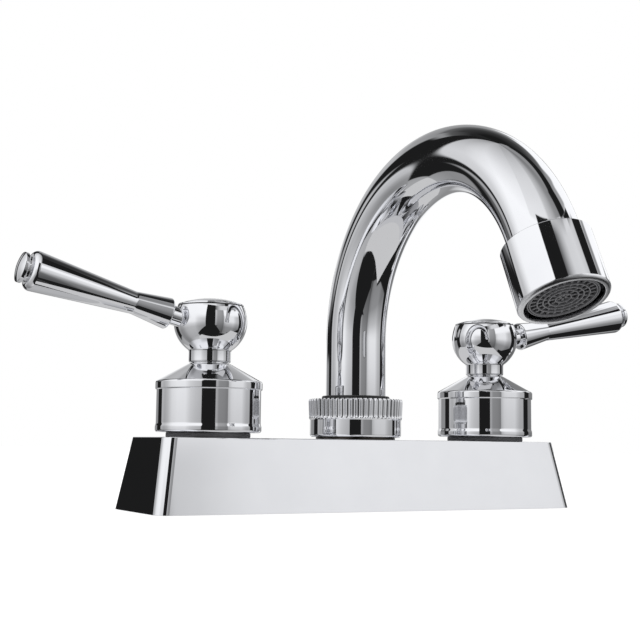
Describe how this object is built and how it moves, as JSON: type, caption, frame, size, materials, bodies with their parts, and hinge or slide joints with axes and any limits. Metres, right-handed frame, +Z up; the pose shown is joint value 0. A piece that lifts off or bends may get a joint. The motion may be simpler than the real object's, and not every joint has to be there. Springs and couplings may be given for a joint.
{
  "type": "basin mixer tap",
  "caption": "Centre-set basin mixer with a tapered rectangular base, lever handles on conical bells, a swivelling gooseneck spout, a fluted coupling nut and an aerator",
  "frame": {"origin": "Centre of the base on the deck it stands on", "axes": "+X along the base to the cold handle, -Y from the base towards the user and the outlet, +Z up"},
  "size_m": [0.221, 0.1303, 0.111],
  "materials": {
    "polished_chrome": "polished chrome plate",
    "plain_brass": "machined brass",
    "disc_ceramic": "lapped ceramic",
    "grey_rubber": "dark grey moulded rubber",
    "black_rubber": "black rubber",
    "stainless_steel": "plain stainless steel",
    "grey_plastic": "moulded plastic",
    "white_nylon": "moulded nylon",
    "dark_plastic": "moulded dark plastic"
  },
  "bodies": {
    "tap_body": {"deck_shell": "polished_chrome", "base_plate": "grey_plastic", "plate_screws": "stainless_steel", "waterway_body": "plain_brass", "gasket_ring_left": "grey_rubber", "gasket_ring_right": "grey_rubber", "bell_left": "polished_chrome", "bell_right": "polished_chrome", "cartridge_body_left": "plain_brass", "cartridge_body_right": "plain_brass", "cartridge_seal_left": "black_rubber", "cartridge_seal_right": "black_rubber", "seat_seal_left": "black_rubber", "seat_seal_right": "black_rubber", "fixed_disc_left": "disc_ceramic", "fixed_disc_right": "disc_ceramic", "spout_post": "plain_brass", "spout_nut": "polished_chrome", "slip_ring": "white_nylon"},
    "left_handle": {"turning_disc_left": "disc_ceramic", "valve_stem_left": "plain_brass", "stem_orings_left": "black_rubber", "stem_clip_left": "stainless_steel", "handle_hub_left": "polished_chrome", "handle_lever_left": "polished_chrome", "handle_screw_left": "stainless_steel", "index_cap_left": "polished_chrome"},
    "right_handle": {"turning_disc_right": "disc_ceramic", "valve_stem_right": "plain_brass", "stem_orings_right": "black_rubber", "stem_clip_right": "stainless_steel", "handle_hub_right": "polished_chrome", "handle_lever_right": "polished_chrome", "handle_screw_right": "stainless_steel", "index_cap_right": "polished_chrome"},
    "spout": {"spout_foot": "plain_brass", "spout_orings": "black_rubber", "spout_tube": "polished_chrome", "tube_washer": "black_rubber", "spout_tip": "polished_chrome", "aerator_housing": "polished_chrome", "aerator_seal": "black_rubber", "aerator_screen": "stainless_steel", "aerator_insert": "dark_plastic"}
  },
  "joints": [
    {"name": "left_handle_turn", "type": "hinge", "parent": "tap_body", "child": "left_handle", "pos_m": [-0.0508, 0, 0.0436], "axis": [0, 0, 1], "range_deg": [0, 90]},
    {"name": "right_handle_turn", "type": "hinge", "parent": "tap_body", "child": "right_handle", "pos_m": [0.0508, 0, 0.0436], "axis": [0, 0, -1], "range_deg": [0, 90]},
    {"name": "spout_swivel", "type": "hinge", "parent": "tap_body", "child": "spout", "pos_m": [0, 0, 0.0296], "axis": [0, 0, 1], "range_deg": [-60, 60]}
  ]
}
